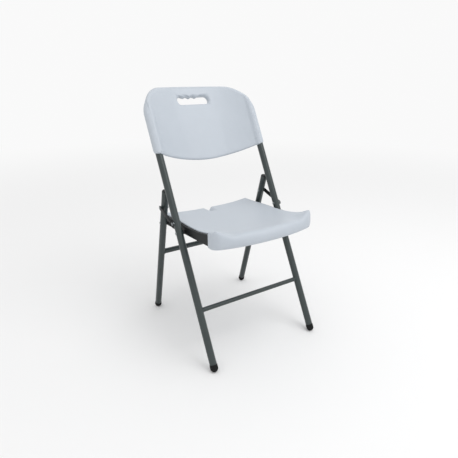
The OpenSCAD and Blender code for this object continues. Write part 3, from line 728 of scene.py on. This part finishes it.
def web_depth(x, z):
    """How far the front and rear faces lie behind the line of the tubes: a circular arc through the
    hollow for the web, blended into round sleeves at the sides, which flatten towards the top."""
    chord = HALF_TRACK - SLEEVE_R
    sag = BACK_HOLLOW + SLEEVE_R / 4
    radius = (chord ** 2 + sag ** 2) / (2 * sag)
    centre = BACK_HOLLOW - radius
    front = centre + np.sqrt(radius ** 2 - x ** 2)
    rear = centre + np.sqrt((radius + BACK_T) ** 2 - x ** 2)
    off = np.clip(np.abs(np.abs(x) - HALF_TRACK) / SLEEVE_R, 0, 1)
    full = 1 - 0.55 * smooth_step((z - BACK_TOP + BACK_CORNER) / 0.090)
    tube_skin = SLEEVE_R * np.sqrt(1 - off ** 2) * full
    outside = np.abs(x) > HALF_TRACK
    away = np.where(off < 1, 0, 1)
    sleeve_front = -tube_skin + away * 0.05
    sleeve_rear = tube_skin - away * 0.05
    front = np.where(outside, sleeve_front, soft_min(sleeve_front, front))
    rear = np.where(outside, sleeve_rear, -soft_min(-sleeve_rear, -rear))
    return front, rear


def edge_normal(edge, reach):
    """Unit normals of a closed edge, each square to the line between the points on either side of it."""
    tangent = np.roll(edge, -reach, 0) - np.roll(edge, reach, 0)
    normal = np.stack([tangent[:, 1], -tangent[:, 0]], -1)
    return normal / np.linalg.norm(normal, axis=1)[:, None]


def back_panel():
    """A closed ring of skin round the hand hole. Each ray from the hole to the outline is followed
    outwards over the front face, round the rim, and back over the rear face."""
    angles = np.linspace(-math.pi, math.pi, 480, endpoint=False)
    angles = angles + 0.175 * np.sin(2 * angles)
    centre = np.array([0, HAND_Z])
    direction = np.stack([np.cos(angles), np.sin(angles)], -1)
    inner = direction * ray_lengths(hand_outline(TOOTH_DEPTH), centre, angles)[:, None] + centre
    slot = direction * ray_lengths(hand_outline(0.0), centre, angles)[:, None] + centre
    outer = direction * ray_lengths(back_outline(), centre, angles)[:, None] + centre
    normal = edge_normal(outer, 1)
    slant_out = np.abs((normal * direction).sum(1))
    slant_in = np.abs((edge_normal(slot, 2) * direction).sum(1)).clip(0.12, 1)
    share = (1 - np.cos(np.linspace(0, math.pi, 70))) / 2
    spot = inner[:, None] + share[None, :, None] * (outer - inner)[:, None]
    length = np.linalg.norm(outer - inner, axis=1)[:, None]
    from_rim = (1 - share)[None] * length * slant_out[:, None]
    from_hole = share[None] * length * slant_in[:, None]
    x, z = spot[..., 0], spot[..., 1]
    front, rear = web_depth(x, z)
    level = np.abs(normal[:, 1])[:, None]
    rim_round = RIM_LEAST + RIM_MORE * smooth_step(level / 0.5)
    thick = (rear - front) / 2
    edge = quarter_round(from_rim, rim_round)
    mouth = quarter_round(from_hole, HOLE_ROUND)
    cut = np.minimum(thick, rim_round)
    front = front + cut * (1 - edge) + HOLE_ROUND * (1 - mouth)
    rear = rear - cut * (1 - edge) - HOLE_ROUND * (1 - mouth)
    near_hole = (1 - share[None]) ** 2 * math.sin(FRONT_LEAN)
    rim_depth = front[:, :1]

    def place(depth):
        """Sets a depth behind the tubes' line in the chair. By the hole, the wall runs square to the
        panel."""
        up = z - (depth - rim_depth) * near_hole
        back = FLOOR_LINE + up * math.tan(FRONT_LEAN) + depth / math.cos(FRONT_LEAN)
        return np.stack([x, back, up], -1)

    rows = np.concatenate([place(front), place(rear)[:, ::-1]], 1)
    m, n = rows.shape[:2]
    return rows.reshape(-1, 3), surface_faces(m, n, True, True)[:, ::-1].tolist()


BACK_LOW, BACK_HIGH = (np.array(corner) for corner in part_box("back_panel"))
BACK_HALF = BACK_HIGH[0]
BACK_TOP = BACK_HIGH[2] - 0.0001
BACK_BOTTOM = BACK_LOW[2]
BACK_HOLLOW = 0.055
BACK_T = 0.022
BACK_RISE = 0.050
BACK_CORNER = 0.095
SLEEVE_R = BACK_HALF - HALF_TRACK
SLEEVE_NIP = 0.004
SLEEVE_BLEND = 0.007
RIM_LEAST = 0.0008
RIM_MORE = 0.0102
HOLE_ROUND = 0.0095
HAND_Z = 0.8296
HAND_HALF = 0.066
HAND_R = 0.0142
TEETH_X = (-0.036, -0.010, 0.015)
TOOTH_WIDTH = 0.0060
TOOTH_DEPTH = 0.0042
make_object("back_panel_skin", [back_panel()], white_shell, "front_frame",
            ["back_panel"])
finish_nodes(["back_screws"], zinc)

# ---------------------------------------------------------------------------------------------
# Studio. A pale matt floor that fades into a white surround between 1 m and 5 m from the chair, an
# even sky, one large soft key light from above on the right, and a weak fill from the front.

SKY_STRENGTH = 0.95
floor_material, floor_tree, floor_output = new_material("studio_floor")
floor_shader = add_node(floor_tree, "ShaderNodeBsdfPrincipled", Base_Color=linear("#ececec"),
                        Roughness=0.8)
floor_place = add_node(floor_tree, "ShaderNodeTexCoord").outputs["Object"]
floor_reach = add_node(floor_tree, "ShaderNodeVectorMath", {"operation": "LENGTH"}, i0=floor_place)
fade = add_node(floor_tree, "ShaderNodeMapRange", {"interpolation_type": "SMOOTHSTEP"},
                Value=floor_reach.outputs["Value"], From_Min=1.0, From_Max=5.0)
glow = add_node(floor_tree, "ShaderNodeEmission", Color=linear("#ffffff"), Strength=SKY_STRENGTH)
floor_mix = add_node(floor_tree, "ShaderNodeMixShader", i0=fade.outputs["Result"],
                     i1=floor_shader.outputs[0], i2=glow.outputs[0])
floor_tree.links.new(floor_mix.outputs[0], floor_output.inputs["Surface"])
floor_mesh = bpy.data.meshes.new("studio_floor")
FLOOR_HALF = 12.0
floor_mesh.from_pydata([(-FLOOR_HALF, -FLOOR_HALF, 0), (FLOOR_HALF, -FLOOR_HALF, 0),
                        (FLOOR_HALF, FLOOR_HALF, 0), (-FLOOR_HALF, FLOOR_HALF, 0)], [], [(0, 1, 2, 3)])
floor_mesh.materials.append(floor_material)
floor = bpy.data.objects.new("studio_floor", floor_mesh)
bpy.context.scene.collection.objects.link(floor)

sky = bpy.data.worlds.new("studio_sky")
sky.use_nodes = True
background = sky.node_tree.nodes["Background"]
background.inputs["Color"].default_value = linear("#ffffff")
background.inputs["Strength"].default_value = SKY_STRENGTH
bpy.context.scene.world = sky


def soft_light(name, place, target, size, watts, colour):
    """A square area light aimed from its place at the target."""
    data = bpy.data.lights.new(name, "AREA")
    data.shape = "SQUARE"
    data.size = size
    data.energy = watts
    data.color = linear(colour)[:3]
    lamp = bpy.data.objects.new(name, data)
    lamp.location = place
    aim = Vector(target) - Vector(place)
    lamp.rotation_euler = aim.to_track_quat("-Z", "Y").to_euler()
    bpy.context.scene.collection.objects.link(lamp)


soft_light("key_light", (0.9, -1.2, 3.0), (0, 0, 0.5), 1.8, 26, "#ffffff")
soft_light("fill_light", (0.6, -3.0, 2.4), (0, 0, 0.5), 1.6, 6, "#f4f8ff")

# ---------------------------------------------------------------------------------------------
# Camera. It stands in front of the chair and to one side of it, a little above its top, and
# looks down at it.

CAMERA_YAW = 0.5623
CAMERA_PITCH = 0.3734
camera_data = bpy.data.cameras.new("camera")
camera_data.sensor_width = 36.0
camera_data.lens = 30.77
camera = bpy.data.objects.new("camera", camera_data)
camera.location = (-0.7309, FLOOR_LINE - 0.9053, 0.9205)
camera.rotation_euler = (math.pi / 2 - CAMERA_PITCH, 0, -CAMERA_YAW)
bpy.context.scene.collection.objects.link(camera)
bpy.context.scene.camera = camera
bpy.context.scene.view_settings.view_transform = "Standard"
